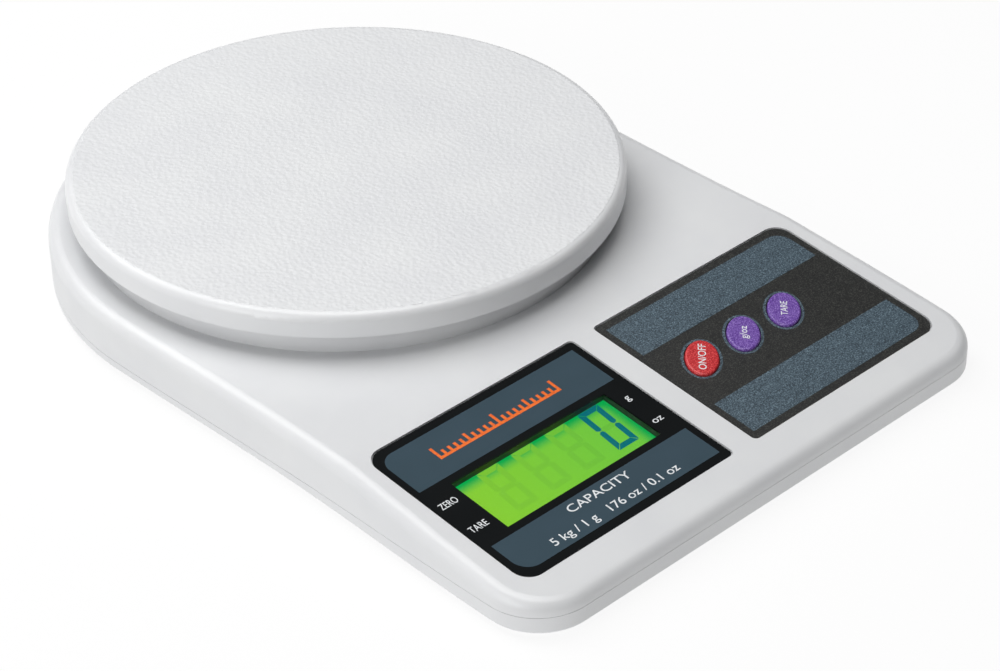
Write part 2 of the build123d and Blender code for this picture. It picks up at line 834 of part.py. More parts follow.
def make_lcd_frame():
    """Dark frame over the glass, with a collar that lines the cover's opening."""
    frame = slab(frame_length, frame_depth, board_top + board_rest_gap, frame_top, window_x, lcd_y)
    grow = 2 * collar_wall
    frame += slab(
        window_length + grow, window_depth + grow, frame_top - merge, collar_top, window_x, window_y
    )
    pocket_length = lcd_length + 2 * touch_gap
    pocket_depth = lcd_depth + 2 * touch_gap
    frame -= slab(pocket_length, pocket_depth, board_low, lcd_top, window_x, lcd_y)
    return on_panel(frame - slab(window_length, window_depth, lcd_top - 1, 0, window_x, window_y))


def make_lcd_glass():
    return on_panel(slab(lcd_length, lcd_depth, lcd_low, lcd_top, window_x, lcd_y))


def make_backlight():
    """Clear slab that spreads the lamp's light behind the glass."""
    depth = lcd_depth - strip_depth - 2 * touch_gap
    y = lcd_y + (lcd_depth - depth) / 2
    return on_panel(slab(lcd_length, depth, backlight_low, lcd_low, window_x, y))


def make_contact_strip():
    """Conductive rubber strip between the glass and the main board."""
    y = lcd_y - (lcd_depth - strip_depth) / 2
    length = lcd_length - 2 * strip_inset
    return on_panel(slab(length, strip_depth, board_top, lcd_low, window_x, y))


def board(ends, back, front, screws):
    """Circuit board with clearance holes for its screws."""
    length = ends[1] - ends[0]
    middle = (ends[0] + ends[1]) / 2
    plate = slab(length, back - front, board_low, board_top, middle, (back + front) / 2)
    for x, y in screws:
        plate -= post(board_screw_radius + loose_gap, board_low - 1, board_top + 1, x, y)
    return plate


def make_main_board():
    return on_panel(board(main_board_ends, main_board_back, main_board_front, main_board_screws))


def make_chip():
    """Epoxy blob over the bare chip, under the main board."""
    blob = post(chip_radius, board_low - chip_height, board_low, chip_x, chip_y)
    low = blob.edges().filter_by(GeomType.CIRCLE).sort_by(Axis.Z)[0]
    return on_panel(fillet(low, chip_edge_radius))


def make_board_screws():
    tip = board_top + board_screw_bite
    screw = pan_screw(
        board_screw_head_radius, board_screw_head_height, board_screw_radius, board_low, tip
    )
    return Compound([on_panel(Pos(x, y, 0) * screw) for x, y in board_screws_at])


def make_board_ribbon():
    """Flat cable that joins the two boards underneath."""
    left = main_board_ends[1] - ribbon_overlap
    right = key_board_ends[0] + ribbon_overlap
    low = board_low - ribbon_thickness
    return on_panel(
        slab(right - left, ribbon_depth, low, board_low, (left + right) / 2, ribbon_y)
    )


# ---------------------------------------------------------------- keypad pieces
def make_keypad_label():
    label = label_shape(1, 0, -label_recess, label_top)
    for x in button_xs.values():
        grow = 2 * button_gap
        label -= ellipse_post(button_long + grow, button_short + grow, -2, 1, x)
    return on_panel(label)


def make_key_board():
    return on_panel(board(key_board_ends, key_board_back, key_board_front, key_board_screws))


def make_switches():
    """Three square switch housings with a round well for the plunger."""
    housings = []
    for x in button_xs.values():
        housing = slab(switch_size, switch_size, board_top, switch_top, x, button_y)
        well_floor = switch_top - plunger_depth - button_travel - touch_gap
        housing -= post(plunger_radius + running_gap, well_floor, switch_top + 1, x, button_y)
        housings.append(on_panel(housing))
    return Compound(housings)


def make_plunger(x):
    return on_panel(post(plunger_radius, switch_top - plunger_depth, plunger_top, x, button_y))


def make_button(x):
    """Oval domed cap with a flange under the cover and a short stem."""
    low = button_flange_low
    cap = ellipse_post(button_long, button_short, low, label_top + button_dome, x)
    crown = cap.edges().group_by(Axis.Z)[-1]
    cap = fillet(crown, button_dome * crown_share)
    grow = 2 * button_flange
    cap += ellipse_post(button_long + grow, button_short + grow, low, button_flange_top, x)
    cap += post(button_stem_radius, plunger_top, low + touch_gap, x, button_y)
    return on_panel(cap)


pieces = {
    "top_cover": make_top_cover(),
    "bottom_cover": make_bottom_cover(),
    "battery_door": make_battery_door(),
    "rubber_feet": make_feet(),
    "housing_screws": make_housing_screws(),
    "load_cell": make_load_cell(),
    "load_cell_shim": make_load_cell_shim(),
    "load_cell_screws": make_load_cell_screws(),
    "strain_gauges": make_strain_gauges(),
    "platter_carrier": make_platter_carrier(),
    "carrier_screws": make_carrier_screws(),
    "platter": make_platter(),
    "battery_cells": make_cells(),
    "battery_springs": make_battery_springs(),
    "battery_contacts": make_battery_contacts(),
    "battery_wires": make_battery_wires(),
    "load_cell_cable": make_load_cell_cable(),
    "board_plugs": make_board_plugs(),
    "display_label": make_display_label(),
    "display_window": make_display_window(),
    "lcd_frame": make_lcd_frame(),
    "lcd_glass": make_lcd_glass(),
    "backlight_guide": make_backlight(),
    "contact_strip": make_contact_strip(),
    "main_board": make_main_board(),
    "controller_chip": make_chip(),
    "board_screws": make_board_screws(),
    "board_ribbon": make_board_ribbon(),
    "keypad_label": make_keypad_label(),
    "key_board": make_key_board(),
    "key_switches": make_switches(),
}
for name, x in button_xs.items():
    pieces[name + "_button"] = make_button(x)
    pieces[name + "_plunger"] = make_plunger(x)

os.makedirs("parts", exist_ok=True)
for name, shape in pieces.items():
    export_step(shape, f"parts/{name}.step")
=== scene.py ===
import json
from math import cos, pi, radians, sin

import bmesh
import bpy
from mathutils import Matrix, Vector


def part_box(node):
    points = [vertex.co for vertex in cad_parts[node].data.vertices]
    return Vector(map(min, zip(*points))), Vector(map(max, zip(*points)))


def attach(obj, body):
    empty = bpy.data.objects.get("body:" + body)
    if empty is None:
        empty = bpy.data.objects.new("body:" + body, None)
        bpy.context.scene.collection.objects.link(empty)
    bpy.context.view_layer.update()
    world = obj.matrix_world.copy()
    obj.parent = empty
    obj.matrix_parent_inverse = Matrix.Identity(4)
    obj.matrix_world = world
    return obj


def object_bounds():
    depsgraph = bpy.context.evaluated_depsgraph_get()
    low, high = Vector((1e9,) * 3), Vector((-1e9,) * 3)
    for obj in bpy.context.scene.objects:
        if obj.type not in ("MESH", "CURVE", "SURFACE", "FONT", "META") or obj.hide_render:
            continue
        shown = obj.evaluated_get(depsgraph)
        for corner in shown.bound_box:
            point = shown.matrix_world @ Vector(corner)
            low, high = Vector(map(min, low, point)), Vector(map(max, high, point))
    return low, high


# Compact battery kitchen scale: finishes, printing, display, studio and camera.
# Lengths are metres in the shared frame. Anything drawn on a label is in
# millimetres from the label's back left corner, x to the right, y uphill.

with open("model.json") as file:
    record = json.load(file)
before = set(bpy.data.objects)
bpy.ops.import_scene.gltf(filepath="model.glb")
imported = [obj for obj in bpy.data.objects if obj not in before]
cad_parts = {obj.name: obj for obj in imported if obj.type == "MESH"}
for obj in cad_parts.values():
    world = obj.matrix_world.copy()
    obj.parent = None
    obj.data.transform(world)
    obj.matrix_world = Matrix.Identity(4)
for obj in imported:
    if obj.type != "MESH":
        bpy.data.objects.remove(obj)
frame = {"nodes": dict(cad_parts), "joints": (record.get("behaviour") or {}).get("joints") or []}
cad_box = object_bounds()
nodes = frame["nodes"]
joints = {joint["name"]: joint for joint in frame["joints"]}

mm = 0.001
housing = "housing"

# ------------------------------------------------------------------ print sizes
ink_height = 0.03                   # a printed layer stands this proud
ink_sink = 0.01                     # and starts this far inside its label
arc_step = radians(6)               # turn between the points of a round outline

# right and back edges of the lit area, beside the window's walls, where a painted shade darkens the
# glow
window_right = 64.0
window_back = -20.5

# slate bands: left, right, front, back, then the radii of the corners front left,
# front right, back right and back left; each band has one well rounded corner
crisp = 0.2
rounded = 4.5
rounder = 5.0
display_bands = {
    "display_band_back": (2.0, 70.2, -18.0, -2.6, (crisp, crisp, crisp, rounded)),
    "display_band_front": (2.2, 70.3, -55.2, -43.2, (rounder, crisp, crisp, crisp)),
}
keypad_bands = {
    "keypad_band_back": (2.2, 70.3, -16.2, -2.5, (crisp, crisp, rounded, crisp)),
    "keypad_band_front": (2.2, 70.3, -55.3, -41.5, (crisp, rounded, crisp, crisp)),
}
key_turn = radians(45)
key_size = (14.4, 9.1)              # long and short axis of a cap
key_gap = 0.25                      # between a cap and the film round it
key_ring_width = 0.75
ring_sink = 0.02                    # the ring starts this far outside the gap

# seven-segment digits; digit_right and digit_front give the front right corner of
# the right-hand one
digit_height = 16.4
digit_width = 7.2
digit_stroke = 1.75
digit_slant = 0.07                  # sideways lean for each millimetre uphill
digit_gap = 0.16                    # kept clear at the ends of a segment
digit_pitch = 11.8                  # from one digit to the next
digit_right = 60.3
digit_front = -37.0
resting_digits = 3                  # undriven digits to the left of the zero

# the orange rule, with tick heights for every tenth, every fifth and the rest
tick_left, tick_right = 14.6, 56.8
tick_line_y = -12.4
tick_line_width = 0.9
tick_line_corner = 0.1
tick_count = 21
tick_heights = {0: 4.8, 5: 3.7, 1: 2.7}
tick_width = 0.85

letter_swell = 0.004                # strokes grown by this share of the font size
letter_steps = 6                    # steps in each curve of a letter


# ------------------------------------------------------------- directions on it
across = Vector((1, 0, 0))
outward = -Vector(joints["power_press"]["axis"]).normalized()
uphill = outward.cross(across)


def reach(node, direction):
    """How far a part extends along a direction."""
    return max(vertex.co.dot(direction) for vertex in nodes[node].data.vertices)


def face_frame(node, x=None, y=None):
    """Millimetre frame on the upper face of a part that lies on the sloping deck.
    Its origin is the back left corner, or the point given along x and uphill."""
    left = -reach(node, -across) if x is None else x
    back = reach(node, uphill) if y is None else y
    origin = across * left + uphill * back + outward * reach(node, outward)
    turned = Matrix((across, uphill, outward)).transposed().to_4x4()
    return Matrix.Translation(origin) @ turned @ Matrix.Scale(mm, 4)


# ------------------------------------------------------------------- node maker
def colour(code):
    """Linear colour of an sRGB hex code."""
    shares = [int(code[i : i + 2], 16) / 255 for i in (0, 2, 4)]
    return (*(s / 12.92 if s <= 0.04045 else ((s + 0.055) / 1.055) ** 2.4 for s in shares), 1)


def per(size_mm):
    """Texture scale that gives features of a size in millimetres."""
    return 1 / (size_mm * mm)


def add(tree, kind, inputs=None, **settings):
    """Adds a shader node; an input is a value, or another node's output to link."""
    node = tree.nodes.new("ShaderNode" + kind)
    for name, value in settings.items():
        setattr(node, name, value)
    for name, value in (inputs or {}).items():
        if isinstance(value, bpy.types.NodeSocket):
            tree.links.new(value, node.inputs[name])
        else:
            node.inputs[name].default_value = value
    return node


def start(name, **sockets):
    """New material with its shader's own sockets set; returns it, its tree and shader."""
    material = bpy.data.materials.new(name)
    material.use_nodes = True
    tree = material.node_tree
    shader = tree.nodes["Principled BSDF"]
    for socket, value in sockets.items():
        shader.inputs[socket.replace("_", " ")].default_value = value
    return material, tree, shader


def place(tree):
    """Position on the object in metres."""
    return add(tree, "TexCoord").outputs["Object"]


def relief(tree, shader, height, depth_mm, base=None):
    """Bump of a real depth from a 0 to 1 height."""
    inputs = {"Height": height, "Distance": depth_mm * mm}
    if base is not None:
        inputs["Normal"] = base
    bump = add(tree, "Bump", inputs)
    tree.links.new(bump.outputs["Normal"], shader.inputs["Normal"])
    return bump.outputs["Normal"]


def shade(tree, shader, amount, stops, socket="Base Color"):
    """Colours a shader socket by an amount, through a few colour stops."""
    ramp = add(tree, "ValToRGB", {"Fac": amount})
    band = ramp.color_ramp
    while len(band.elements) < len(stops):
        band.elements.new(0.5)
    for element, (position, code) in zip(band.elements, stops):
        element.position = position
        element.color = colour(code)
    tree.links.new(ramp.outputs["Color"], shader.inputs[socket])


def vary(tree, shader, socket, amount, low, high):
    """Lets a shader's number wander between two values."""
    spread = add(tree, "MapRange", {"Value": amount, "To Min": low, "To Max": high})
    tree.links.new(spread.outputs["Result"], shader.inputs[socket])


def noise(tree, size_mm, detail=2.0, roughness=0.5):
    """Soft random pattern with features of a real size."""
    inputs = {
        "Vector": place(tree),
        "Scale": per(size_mm),
        "Detail": detail,
        "Roughness": roughness,
    }
    return add(tree, "TexNoise", inputs).outputs["Fac"]


def ease(tree, value, low, high):
    """0 below low, 1 above high, smooth between."""
    inputs = {"Value": value, "From Min": low, "From Max": high}
    return add(tree, "MapRange", inputs, interpolation_type="SMOOTHSTEP").outputs["Result"]


def times(tree, first, second):
    """Product of two values."""
    return add(tree, "Math", {0: first, 1: second}, operation="MULTIPLY").outputs["Value"]


# ------------------------------------------------------------- housing plastics
def moulded_white_abs():
    """White ABS from a spark-eroded mould: satin, with a very fine tool texture and
    barely visible flow clouding, so broad highlights break up softly."""
    material, tree, shader = start("moulded_white_abs", IOR=1.54)
    clouds = noise(tree, 22, 3)
    shade(tree, shader, clouds, [(0.3, "dedfe1"), (0.7, "e3e4e5")])
    vary(tree, shader, "Roughness", noise(tree, 6, 4), 0.30, 0.42)
    tool_mark = relief(tree, shader, noise(tree, 0.45, 3, 0.6), 0.006)
    relief(tree, shader, clouds, 0.02, tool_mark)
    return material


def leather_grained_abs():
    """The same ABS with a photo-etched leather grain on the flat weighing face only;
    the rolled rim and the skirt stay smooth and catch a clean highlight."""
    material, tree, shader = start("leather_grained_abs", IOR=1.54)
    clouds = noise(tree, 25, 3)
    shade(tree, shader, clouds, [(0.3, "e2e3e5"), (0.7, "e7e8e9")])
    bend = add(tree, "TexNoise", {"Vector": place(tree), "Scale": per(2.2), "Detail": 3.0})
    shift = add(
        tree,
        "VectorMath",
        {0: bend.outputs["Color"], "Scale": 1.1 * mm},
        operation="SCALE",
    )
    bent = add(tree, "VectorMath", {0: place(tree), 1: shift.outputs[0]})
    creases = add(
        tree,
        "TexVoronoi",
        {"Vector": bent.outputs[0], "Scale": per(1.3), "Smoothness": 0.35},
        feature="SMOOTH_F1",
    )
    facing = add(tree, "SeparateXYZ", {"Vector": add(tree, "TexCoord").outputs["Normal"]})
    flat = ease(tree, facing.outputs["Z"], 0.97, 0.999)
    grain = times(tree, creases.outputs["Distance"], flat)
    fine = relief(tree, shader, times(tree, noise(tree, 0.4, 2), flat), 0.02)
    relief(tree, shader, grain, 0.16, fine)
    vary(tree, shader, "Roughness", flat, 0.34, 0.48)
    return material


# ------------------------------------------------------------------ label films
def gloss_printed_film(name, deep, pale):
    """Clear polyester printed on its back: the ink shows dark and even under a
    smooth glossy face with a trace of orange peel."""
    material, tree, shader = start(name, IOR=1.5)
    shade(tree, shader, noise(tree, 14, 2), [(0.2, deep), (0.8, pale)])
    vary(tree, shader, "Roughness", noise(tree, 9, 3), 0.10, 0.17)
    relief(tree, shader, noise(tree, 4.0, 2), 0.008)
    return material


def grained_printed_film(name, dark, middle, bright):
    """Polycarbonate film with an embossed velvet grain: countless tiny facets that glint, and these
    glints are painted into the colour as lighter specks over the printed ink."""
    material, tree, shader = start(name, IOR=1.58)
    grain = noise(tree, 0.38, 2, 0.7)
    # painted glints: the grain's high spots take the bright colour, lighter specks standing in for
    # light glinting off the facets
    shade(tree, shader, grain, [(0.38, dark), (0.50, middle), (0.64, bright)])
    vary(tree, shader, "Roughness", noise(tree, 0.6, 2), 0.38, 0.62)
    relief(tree, shader, grain, 0.05)
    return material


def screen_ink(name, thin, full):
    """Opaque screen-printed ink, flat and nearly matt, a little uneven in cover."""
    material, tree, shader = start(name, Roughness=0.5)
    shade(tree, shader, noise(tree, 0.8, 2), [(0.3, thin), (0.6, full)])
    relief(tree, shader, noise(tree, 0.5, 2), 0.004)
    return material


def domed_cap(name, dark, middle, bright):
    """Key cap under the same grained film: saturated ink over a soft dome, with the glints of its
    grain painted in as fine lighter specks."""
    material, tree, shader = start(name, IOR=1.58)
    grain = noise(tree, 0.38, 2, 0.7)
    # painted glints: the grain's high spots take the bright colour, lighter specks standing in for
    # light glinting off the facets
    shade(tree, shader, grain, [(0.36, dark), (0.5, middle), (0.66, bright)])
    vary(tree, shader, "Roughness", noise(tree, 0.6, 2), 0.35, 0.55)
    relief(tree, shader, grain, 0.035)
    return material


# --------------------------------------------------------------------- display
def cast_acrylic_window():
    """Clear polished acrylic pane: almost invisible but for a faint reflection."""
    material, tree, shader = start(
        "cast_acrylic_window", IOR=1.49, Transmission_Weight=1.0, Base_Color=(1, 1, 1, 1)
    )
    vary(tree, shader, "Roughness", noise(tree, 12, 2), 0.0, 0.02)
    return material


def away_from_painted_shade(tree, width_mm):
    """1 in the middle of the lit area, falling to 0 at its right and back edges, where the glow
    carries a painted shade from the window's walls.
    """
    corner = face_frame("display_label")
    far = corner @ Vector((window_right, window_back, 0))
    spot = add(tree, "SeparateXYZ", {"Vector": place(tree)})
    reach_in = width_mm * mm
    sideways = ease(tree, spot.outputs["X"], far.x, far.x - reach_in)
    uphill_part = ease(tree, spot.outputs["Y"], far.y, far.y - reach_in)
    return times(tree, sideways, uphill_part)


def backlit_display_glass():
    """Green-lit liquid crystal glass: an even glow with a painted shade, deeper and bluer, along
    its right and back rim where the window's walls overhang it, and yellower near the lamp end."""
    material, tree, shader = start(
        "backlit_display_glass",
        Base_Color=colour("0c140a"),
        Roughness=0.22,
        IOR=1.52,
        Emission_Strength=1.06,
    )
    low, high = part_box("lcd_glass")
    spot = add(tree, "SeparateXYZ", {"Vector": place(tree)})
    along = add(
        tree,
        "MapRange",
        {"Value": spot.outputs["X"], "From Min": low.x, "From Max": high.x},
    )
    glow = add(tree, "ValToRGB", {"Fac": along.outputs["Result"]})
    glow.color_ramp.elements[0].position = 0.05
    glow.color_ramp.elements[0].color = colour("88cf34")
    glow.color_ramp.elements[1].position = 0.95
    glow.color_ramp.elements[1].color = colour("6cc63f")
    # painted shade: near the window's right and back walls the glow is mixed towards deep green
    # 00a84c, standing in for the shade those walls cast
    unshaded_share = away_from_painted_shade(tree, 4.2)
    lit = add(
        tree,
        "Mix",
        {0: unshaded_share, 6: colour("00a84c"), 7: glow.outputs["Color"]},
        data_type="RGBA",
    )
    tree.links.new(lit.outputs[2], shader.inputs["Emission Color"])
    relief(tree, shader, noise(tree, 7, 2), 0.01)
    return material


def switched_crystal(name, left, right):
    """Liquid crystal segment over the glow: dark when driven, just visible at rest."""
    material, tree, shader = start(
        name, Base_Color=colour("04100f"), Roughness=0.25, Emission_Strength=1.0
    )
    low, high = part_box("lcd_glass")
    spot = add(tree, "SeparateXYZ", {"Vector": place(tree)})
    limits = {"Value": spot.outputs["X"], "From Min": low.x, "From Max": high.x}
    along = add(tree, "MapRange", limits)
    shade(tree, shader, along.outputs["Result"], [(0.05, left), (0.95, right)], "Emission Color")
    return material


# --------------------------------------------------------------- inside and under
def moulded_plastic(name, dark, light, roughness, grain_mm=0.5):
    """Plain moulded engineering plastic with fine tool texture."""
    material, tree, shader = start(name, IOR=1.5)
    shade(tree, shader, noise(tree, 9, 3), [(0.3, dark), (0.7, light)])
    vary(tree, shader, "Roughness", noise(tree, 3, 3), roughness - 0.05, roughness + 0.06)
    relief(tree, shader, noise(tree, grain_mm, 3), 0.008)
    return material


def moulded_rubber():
    """Grey thermoplastic rubber, press moulded: dull, with a dusty bloom."""
    material, tree, shader = start("moulded_rubber", IOR=1.52, Sheen_Weight=0.15)
    shade(tree, shader, noise(tree, 5, 4), [(0.3, "6e7072"), (0.75, "84868a")])
    vary(tree, shader, "Roughness", noise(tree, 1.5, 3), 0.68, 0.86)
    relief(tree, shader, noise(tree, 0.35, 3), 0.02)
    return material


def turned_metal(name, dark, light, roughness, line_mm):
    """Plated or milled metal: a hard bright surface crossed by fine tool lines."""
    material, tree, shader = start(name, Metallic=1.0)
    stretched = add(
        tree,
        "Mapping",
        {"Vector": place(tree), "Scale": (per(40), per(line_mm), per(line_mm))},
    )
    lines = add(tree, "TexNoise", {"Vector": stretched.outputs[0], "Scale": 1.0, "Detail": 4.0})
    shade(tree, shader, lines.outputs["Fac"], [(0.25, dark), (0.75, light)])
    vary(tree, shader, "Roughness", lines.outputs["Fac"], roughness - 0.08, roughness + 0.1)
    relief(tree, shader, lines.outputs["Fac"], 0.006)
    return material


def solder_masked_laminate():
    """Green solder mask over copper tracks on glass laminate: tracks show as paler,
    slightly raised lines under a glossy lacquer."""
    material, tree, shader = start("solder_masked_laminate", IOR=1.5)
    tracks = add(
        tree,
        "TexBrick",
        {
            "Vector": place(tree),
            "Scale": 1.0,
            "Brick Width": 5.5 * mm,
            "Row Height": 1.6 * mm,
            "Mortar Size": 0.28 * mm,
            "Mortar Smooth": 0.1,
        },
    )
    shade(tree, shader, tracks.outputs["Fac"], [(0.3, "0f4a24"), (0.7, "2a7440")])
    vary(tree, shader, "Roughness", noise(tree, 2, 3), 0.22, 0.36)
    relief(tree, shader, tracks.outputs["Fac"], 0.03)
    return material


def layered_connector_rubber():
    """Zebra strip: thin conducting and insulating silicone layers, side by side."""
    material, tree, shader = start("layered_connector_rubber", IOR=1.42)
    layers = add(
        tree,
        "TexWave",
        {"Vector": place(tree), "Scale": per(0.5) / (2 * pi), "Distortion": 0.0},
        bands_direction="X",
    )
    shade(tree, shader, layers.outputs["Fac"], [(0.4, "d9a7b4"), (0.6, "2c2c2e")])
    vary(tree, shader, "Roughness", noise(tree, 1, 2), 0.5, 0.65)
    return material


def shrink_sleeved_cell():
    """Round cell in a printed shrink sleeve: dark body, copper-coloured shoulder,
    bare nickel at the ends."""
    material, tree, shader = start("shrink_sleeved_cell", IOR=1.5)
    low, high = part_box("battery_cells")
    middle, half = (low.x + high.x) / 2, (high.x - low.x) / 2
    spot = add(tree, "SeparateXYZ", {"Vector": place(tree)})
    side = add(tree, "Math", {0: spot.outputs["X"], 1: middle}, operation="SUBTRACT")
    out = add(tree, "Math", {0: side.outputs["Value"]}, operation="ABSOLUTE").outputs["Value"]
    share = add(tree, "Math", {0: out, 1: half}, operation="DIVIDE").outputs["Value"]
    stops = [(0.52, "1a1c20"), (0.54, "b5713a"), (0.93, "b5713a"), (0.95, "c9c7c0")]
    shade(tree, shader, share, stops)
    tree.links.new(ease(tree, share, 0.93, 0.95), shader.inputs["Metallic"])
    vary(tree, shader, "Roughness", noise(tree, 4, 3), 0.2, 0.34)
    relief(tree, shader, noise(tree, 3, 2), 0.01)
    return material


def extruded_sheath(name, stops):
    """PVC wire sheath, extruded: smooth and slightly waxy, coloured lead by lead."""
    material, tree, shader = start(name, IOR=1.53)
    low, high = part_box(name)
    spot = add(tree, "SeparateXYZ", {"Vector": place(tree)})
    limits = {"Value": spot.outputs["X"], "From Min": low.x, "From Max": high.x}
    side = add(tree, "MapRange", limits)
    shade(tree, shader, side.outputs["Result"], stops)
    vary(tree, shader, "Roughness", noise(tree, 2, 3), 0.42, 0.56)
    relief(tree, shader, noise(tree, 0.6, 2), 0.01)
    return material


# -------------------------------------------------------- finishes on CAD pieces
white_abs = moulded_white_abs()
zinc_steel = turned_metal("zinc_plated_steel", "9a9da1", "c4c7ca", 0.34, 0.25)
nickel_steel = turned_metal("nickel_plated_steel", "a8a49a", "d2cec2", 0.26, 0.3)
grey_nylon = moulded_plastic("moulded_grey_nylon", "bdbab0", "cbc8be", 0.5)
laminate = solder_masked_laminate()
# the last colour is the painted glint of the cap's grain
purple_cap = domed_cap("purple_domed_cap", "4a2580", "6c45a4", "a286cf")

finishes = {
    "top_cover": white_abs,
    "bottom_cover": white_abs,
    "battery_door": white_abs,
    "platter_carrier": white_abs,
    "platter": leather_grained_abs(),
    "rubber_feet": moulded_rubber(),
    "housing_screws": zinc_steel,
    "load_cell_screws": zinc_steel,
    "carrier_screws": zinc_steel,
    "board_screws": zinc_steel,
    "load_cell_shim": zinc_steel,
    "load_cell": turned_metal("milled_aluminium", "b4b7ba", "d6d8da", 0.36, 0.35),
    "strain_gauges": moulded_plastic("poured_white_silicone", "d8d8d2", "e6e6e0", 0.42, 1.5),
    "load_cell_cable": extruded_sheath("load_cell_cable", [(0.0, "3a3b3e"), (1.0, "45464a")]),
    "battery_wires": extruded_sheath("battery_wires", [(0.30, "1a1a1b"), (0.34, "b01818")]),
    "board_ribbon": extruded_sheath("board_ribbon", [(0.06, "b8b8b6"), (0.10, "8d8f92")]),
    "battery_cells": shrink_sleeved_cell(),
    "battery_springs": nickel_steel,
    "battery_contacts": nickel_steel,
    "board_plugs": moulded_plastic("moulded_white_nylon", "dedccf", "e8e6da", 0.5),
    "display_label": gloss_printed_film("gloss_black_film", "161819", "191b1c"),
    "display_window": cast_acrylic_window(),
    "lcd_frame": moulded_plastic("moulded_dark_grey_abs", "444344", "4e4d4e", 0.5),
    "lcd_glass": backlit_display_glass(),
    "backlight_guide": moulded_plastic("polished_acrylic_guide", "bfe08a", "cfe9a2", 0.12, 4),
    "contact_strip": layered_connector_rubber(),
    "main_board": laminate,
    "key_board": laminate,
    "controller_chip": moulded_plastic("potting_epoxy", "101011", "18181a", 0.3, 2.5),
    # the last colour of each grained film and cap is its painted glint
    "keypad_label": grained_printed_film("grained_black_film", "070808", "111212", "3f403c"),
    "key_switches": moulded_plastic("moulded_black_nylon", "171718", "202022", 0.45),
    "power_button": domed_cap("red_domed_cap", "a10f18", "c8242b", "ea5c5c"),
    "unit_button": purple_cap,
    "tare_button": purple_cap,
    "power_plunger": grey_nylon,
    "unit_plunger": grey_nylon,
    "tare_plunger": grey_nylon,
}
for node, finish in finishes.items():
    slots = nodes[node].data.materials
    slots.clear()
    slots.append(finish)


# --------------------------------------------------------------- printed shapes
def rounded_panel(left, right, front, back, radii):
    """Outline of a printed band; radii run front left, front right, back right,
    back left."""
    centres = (
        (left + radii[0], front + radii[0], pi),
        (right - radii[1], front + radii[1], 1.5 * pi),
        (right - radii[2], back - radii[2], 0),
        (left + radii[3], back - radii[3], 0.5 * pi),
    )
    steps = round(0.5 * pi / arc_step)
    points = []
    for radius, (x, y, start_angle) in zip(radii, centres):
        for i in range(steps + 1):
            angle = start_angle + i * 0.5 * pi / steps
            points.append((x + radius * cos(angle), y + radius * sin(angle)))
    return points


def oval(long_radius, short_radius, turn):
    """Outline of a turned oval about the origin."""
    steps = round(2 * pi / arc_step)
    points = []
    for i in range(steps):
        angle = 2 * pi * i / steps
        x, y = long_radius * cos(angle), short_radius * sin(angle)
        points.append((x * cos(turn) - y * sin(turn), x * sin(turn) + y * cos(turn)))
    return points


def raise_outline(form, outline, low, high):
    """Closed slab with the given outline."""
    bottom = [form.verts.new((x, y, low)) for x, y in outline]
    top = [form.verts.new((x, y, high)) for x, y in outline]
    form.faces.new(list(reversed(bottom)))
    form.faces.new(top)
    for i in range(len(outline)):
        j = (i + 1) % len(outline)
        form.faces.new((bottom[i], bottom[j], top[j], top[i]))


def raise_ring(form, outer, inner, low, high):
    """Closed flat ring between two outlines of the same number of points."""
    rings = [
        [form.verts.new((x, y, z)) for x, y in line]
        for line in (outer, inner)
        for z in (low, high)
    ]
    outer_low, outer_high, inner_low, inner_high = rings
    for i in range(len(outer)):
        j = (i + 1) % len(outer)
        form.faces.new((outer_low[i], outer_low[j], outer_high[j], outer_high[i]))
        form.faces.new((inner_low[j], inner_low[i], inner_high[i], inner_high[j]))
        form.faces.new((outer_high[i], outer_high[j], inner_high[j], inner_high[i]))
        form.faces.new((outer_low[j], outer_low[i], inner_low[i], inner_low[j]))


def finish_piece(name, mesh, where, material, body=housing):
    """Puts a drawn mesh in its place, gives it its finish and lets it ride."""
    mesh.transform(where)
    mesh.materials.clear()
    mesh.materials.append(material)
    piece = bpy.data.objects.new(name, mesh)
    bpy.context.scene.collection.objects.link(piece)
    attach(piece, body)
    return piece


def print_outlines(name, outlines, where, material, body=housing):
    """Prints one or more closed outlines as a thin layer."""
    form = bmesh.new()
    for outline in outlines:
        raise_outline(form, outline, -ink_sink, ink_height)
    mesh = bpy.data.meshes.new(name)
    form.to_mesh(mesh)
    form.free()
    return finish_piece(name, mesh, where, material, body)


def print_words(
    name, words, middle, length, cap_height, where, material, turn=0.0, body=housing
):
    """Prints plain sans-serif words, centred, at a set length and capital height."""
    text = bpy.data.curves.new(name, "FONT")
    text.body = words
    text.extrude = (ink_height + ink_sink) / 2 / cap_height
    text.resolution_u = letter_steps
    text.offset = letter_swell
    source = bpy.data.objects.new(name + "_source", text)
    mesh = bpy.data.meshes.new_from_object(source)
    bpy.data.objects.remove(source)
    bpy.data.curves.remove(text)
    form = bmesh.new()
    form.from_mesh(mesh)
    bmesh.ops.remove_doubles(form, verts=form.verts, dist=1e-5)
    form.to_mesh(mesh)
    form.free()
    xs = [vertex.co.x for vertex in mesh.vertices]
    capital = 0.7                   # height of a capital in the built-in font
    wide = length / (max(xs) - min(xs))
    tall = cap_height / capital
    centre = Vector(((max(xs) + min(xs)) / 2, capital / 2, 0))
    scale = Matrix.Diagonal((wide, tall, cap_height, 1))
    lift = Matrix.Translation((*middle, (ink_height - ink_sink) / 2))
    drawn = lift @ Matrix.Rotation(turn, 4, "Z") @ scale @ Matrix.Translation(-centre)
    mesh.transform(drawn)
    return finish_piece(name, mesh, where, material, body)


# --------------------------------------------------------------- printed labels
display_face = face_frame("display_label")
keypad_face = face_frame("keypad_label")

slate_gloss = gloss_printed_film("gloss_slate_film", "3f505a", "43545f")
